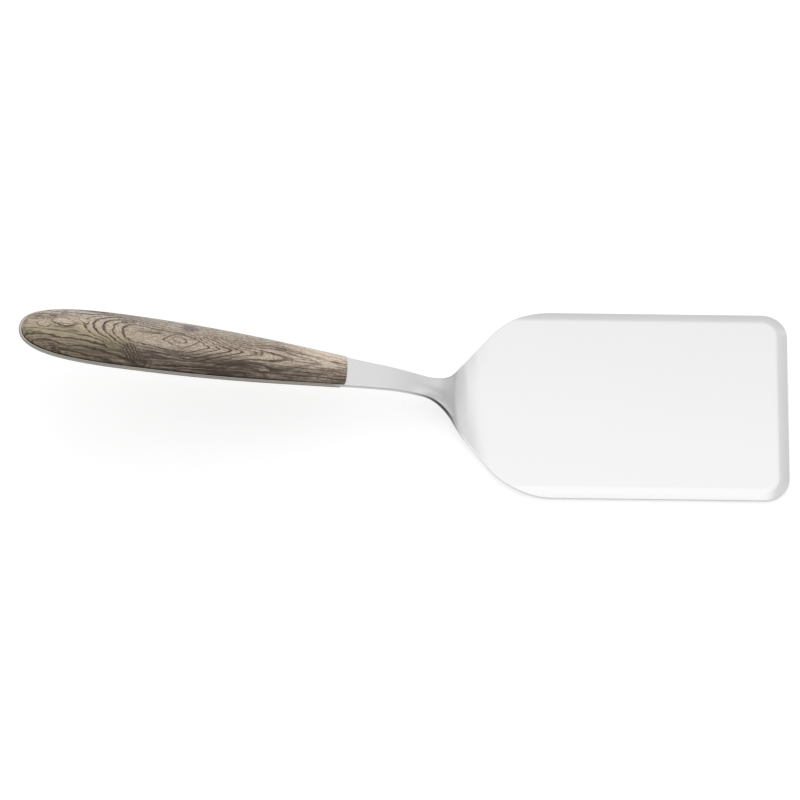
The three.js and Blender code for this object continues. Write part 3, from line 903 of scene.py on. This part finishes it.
class SERVER_OT_form_plate(bpy.types.Operator):
    """Form the steel plate: blade with its lip, neck and tang"""
    bl_idname = "server.form_plate"
    bl_label = "Form plate"
    bl_options = {"REGISTER", "UNDO"}

    def execute(self, context):
        looks = context.scene.server_looks
        blank = FormedSheet(context.scene.server_plate)
        rings, edge_bands = plate_rings(blank)
        mesh, bands = skinned("formed_plate", blank, plate_stations(blank), rings)
        mesh.polygons.foreach_set("material_index", [int(band in edge_bands) for band in bands])
        mesh = drilled(context, cleaned(mesh), blank, context.scene.server_scales)
        low = min(corner.co.z for corner in mesh.vertices)
        mesh.transform(Matrix.Translation((0.0, 0.0, -low)))
        placed(context, "formed_plate", mesh, "server_plate", [
            # The steel's zones are painted shade: beside the wood, along the neck's edge and in the throat's edge.
            steel_finish("polished steel", looks.steel, 0.24, [(looks.rim_face_shade, BESIDE_WOOD)]),
            steel_finish("sheared steel edge", looks.cut_edge, 0.38, [
                (looks.neck_edge_shade, BEHIND_BLADE),
                (looks.edge_shade, THROAT),
                (looks.rim_edge_shade, BESIDE_WOOD),
            ]),
        ])
        return {"FINISHED"}


def scale_stations(blank, wood, setback, crown):
    """The stations round a scale, from its eased front end to its tip."""
    front = blank.length - wood.upper_length + setback
    stations = []
    for i in range(WOOD_END_STEPS):
        turn = QUARTER * i / WOOD_END_STEPS
        start = share_at(blank.swelling, front + wood.end_ease * (1 - cos(turn)))
        station = stations_on(blank.swelling, 1, start)[0]
        station.drawn_in = wood.end_ease * (1 - sin(turn))
        stations.append(station)
    stations += stations_on(blank.swelling, WOOD_STEPS[0], share_at(blank.swelling, front + wood.end_ease))
    stations += stations_on(blank.rounding, WOOD_STEPS[1])[1:]
    half_wood = blank.sizes.belly_width / 2 - wood.rim_at_tip
    for station in stations:
        back = (station.s - front) / (blank.length - front)
        station.s, width = station.moved_in(wood.rim_at_neck + (wood.rim_at_tip - wood.rim_at_neck) * back)
        width = max(width, 0.0)
        station.w = max(width - station.drawn_in, 0.0)
        station.bulge = max(crown * (width / half_wood) ** wood.crown_power - station.drawn_in, 0.0)
    return stations


def crowned(name, blank, wood, stations, side, wall):
    """A scale with a flat face on the tang, a low upright wall and a crown."""
    foot = blank.half_sheet + wood.bond_line

    def wall_ring(height):
        return lambda station: (station.s, station.w, side * (foot + height))

    def crown_ring(i):
        turn = QUARTER * i / CROWN_STEPS
        across = 0.0 if i == CROWN_STEPS else cos(turn)
        return lambda station: (station.s, station.w * across, side * (foot + wall + station.bulge * sin(turn)))

    rings = [wall_ring(0.0), wall_ring(wall / 2), *map(crown_ring, range(CROWN_STEPS + 1))]
    mesh, _ = skinned(name, blank, stations, rings[::-1] if side > 0 else rings)
    return cleaned(mesh)


class SERVER_OT_shape_scales(bpy.types.Operator):
    """Shape the two wooden scales on the tang"""
    bl_idname = "server.shape_scales"
    bl_label = "Shape scales"
    bl_options = {"REGISTER", "UNDO"}

    def execute(self, context):
        z = context.scene.server_plate
        wood = context.scene.server_scales
        blank = FormedSheet(z)
        lift = lifted(blank)
        tip = blank.tip + Vector((0.0, 0.0, lift))
        slope = (z.handle_angle + z.tip_angle) / 2
        for name, node, side, setback, wall, crown, figure in (
            ("upper_handle_scale", "upper_scale", 1, 0.0, wood.upper_wall, wood.upper_crown, UPPER_FIGURE),
            ("lower_handle_scale", "lower_scale", -1, wood.lower_setback, wood.lower_wall, wood.lower_crown,
             LOWER_FIGURE),
        ):
            stations = scale_stations(blank, wood, setback, crown)
            mesh = drilled(context, crowned(name, blank, wood, stations, side, wall), blank, wood)
            mesh.transform(Matrix.Translation((0.0, 0.0, lift)))
            finish = wood_finish(f"{node} wood", context.scene.server_looks, figure, tip, slope)
            placed(context, name, mesh, node, [finish])
        return {"FINISHED"}


class SERVER_OT_finish_dowels(bpy.types.Operator):
    """Give the blind dowels their turned brass"""
    bl_idname = "server.finish_dowels"
    bl_label = "Finish dowels"
    bl_options = {"REGISTER", "UNDO"}

    def execute(self, context):
        brass = brass_finish("turned brass", context.scene.server_looks.brass, DOWEL_SLOPE)
        for node in ("dowel_front", "dowel_middle", "dowel_rear"):
            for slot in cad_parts[node].material_slots:
                slot.material = brass
        return {"FINISHED"}


def lay_table(scene, looks):
    work = bmesh.new()
    bmesh.ops.create_grid(work, x_segments=TABLE_CELLS, y_segments=TABLE_CELLS, size=TABLE_HALF)
    mesh = bpy.data.meshes.new("table")
    work.to_mesh(mesh)
    work.free()
    mesh.materials.append(table_finish("white table", looks.table, looks.table_glow))
    table = bpy.data.objects.new("table", mesh)
    scene.collection.objects.link(table)


def hang_light(scene, stage):
    light = bpy.data.lights.new("softbox", "AREA")
    light.shape = "SQUARE"
    light.size = stage.softbox_width
    light.energy = stage.softbox
    lamp = bpy.data.objects.new("softbox", light)
    lamp.location = stage.softbox_place
    scene.collection.objects.link(lamp)


def light_room(scene, stage):
    """A pale room that darkens towards the floor and behind the camera. The camera itself sees plain white."""
    world = bpy.data.worlds.new("studio")
    world.use_nodes = True
    scene.world = world
    sheet = Sheet(world.node_tree)
    x, y, z = sheet.split(sheet.place("Generated"))
    walls = 0.42 + 0.48 * z.ramp(0.02, 0.42) + 0.05 * z.ramp(0.4, 0.8) + 0.07 * y.ramp(0.75, 0.92)
    back_board = 0.25 * y.ramp(0.8, 0.95) * z.ramp(0.34, 0.1)
    low_board = 0.28 * y.window(0.53, 0.74, 0.8, 0.95) * z.ramp(0.2, 0.05)
    corner_board = 0.3 * x.ramp(0.32, 0.5) * y.window(0.56, 0.62, 0.64, 0.72) * z.ramp(0.08, 0.22)
    dark_post = 0.14 * x.ramp(0.46, 0.6) * y.window(0.45, 0.51, 0.56, 0.61) * z.ramp(0.14, 0.3)
    side_board = 0.22 * x.ramp(0.2, 0.6) * y.ramp(0.515, 0.39) * z.ramp(0.45, 0.3)
    walls = walls + back_board + low_board + corner_board - dark_post + side_board
    walls = walls * (0.5 + 0.5 * y.ramp(-0.8, -0.15))
    over = z.most(0.001)
    ceiling = abs(x / over + 0.25).ramp(0.75, 0.2) * abs(y / over).ramp(1.4, 0.75) * 0.262
    seen = sheet.node("ShaderNodeLightPath", None, None, "Is Camera Ray")
    level = (walls + ceiling) * stage.sky * (1.0 - seen) + seen
    background = sheet.node("ShaderNodeBackground", None, {"Color": WHITE, "Strength": level})
    sheet.node("ShaderNodeOutputWorld", None, {"Surface": background})


def aim_camera(scene, stage):
    lens = bpy.data.cameras.new("camera")
    lens.sensor_width = SENSOR_WIDTH
    lens.lens = stage.pixels_per_mm / MM * stage.distance * SENSOR_WIDTH / PICTURE_SIDE
    lens.clip_end = FAR_CLIP
    camera = bpy.data.objects.new("camera", lens)
    right = Vector((cos(stage.turn), sin(stage.turn), 0.0))
    back = Vector((sin(stage.turn) * cos(stage.rise), -cos(stage.turn) * cos(stage.rise), sin(stage.rise)))
    axes = Matrix((right, back.cross(right), back)).transposed()
    camera.matrix_world = Matrix.Translation(Vector(stage.look_at) + back * stage.distance) @ axes.to_4x4()
    scene.collection.objects.link(camera)
    scene.camera = camera


class SERVER_OT_set_stage(bpy.types.Operator):
    """Set the white table, the soft light and the camera"""
    bl_idname = "server.set_stage"
    bl_label = "Set stage"
    bl_options = {"REGISTER", "UNDO"}

    def execute(self, context):
        scene = context.scene
        lay_table(scene, scene.server_looks)
        hang_light(scene, scene.server_stage)
        light_room(scene, scene.server_stage)
        aim_camera(scene, scene.server_stage)
        scene.view_settings.view_transform = "Standard"
        return {"FINISHED"}


class SERVER_PT_panel(bpy.types.Panel):
    """The steps that make the server"""
    bl_label = "Lasagna server"
    bl_idname = "SERVER_PT_panel"
    bl_space_type = "VIEW_3D"
    bl_region_type = "UI"
    bl_category = "Server"

    def draw(self, context):
        for operator in OPERATORS:
            self.layout.operator(operator.bl_idname)
        for group in GROUPS:
            settings = getattr(context.scene, group)
            box = self.layout.box()
            for name in settings.bl_rna.properties.keys():
                if name not in ("rna_type", "name"):
                    box.prop(settings, name)


GROUPS = {
    "server_plate": PlateSizes,
    "server_scales": ScaleSizes,
    "server_looks": Looks,
    "server_stage": StageSizes,
}
OPERATORS = (SERVER_OT_form_plate, SERVER_OT_shape_scales, SERVER_OT_finish_dowels, SERVER_OT_set_stage)
CLASSES = (*GROUPS.values(), *OPERATORS, SERVER_PT_panel)


def register():
    for each in CLASSES:
        bpy.utils.register_class(each)
    for name, group in GROUPS.items():
        setattr(bpy.types.Scene, name, PointerProperty(type=group))


def unregister():
    for name in GROUPS:
        delattr(bpy.types.Scene, name)
    for each in reversed(CLASSES):
        bpy.utils.unregister_class(each)


def main():
    register()
    bpy.ops.server.form_plate()
    bpy.ops.server.shape_scales()
    bpy.ops.server.finish_dowels()
    bpy.ops.server.set_stage()


if __name__ == "__main__":
    main()
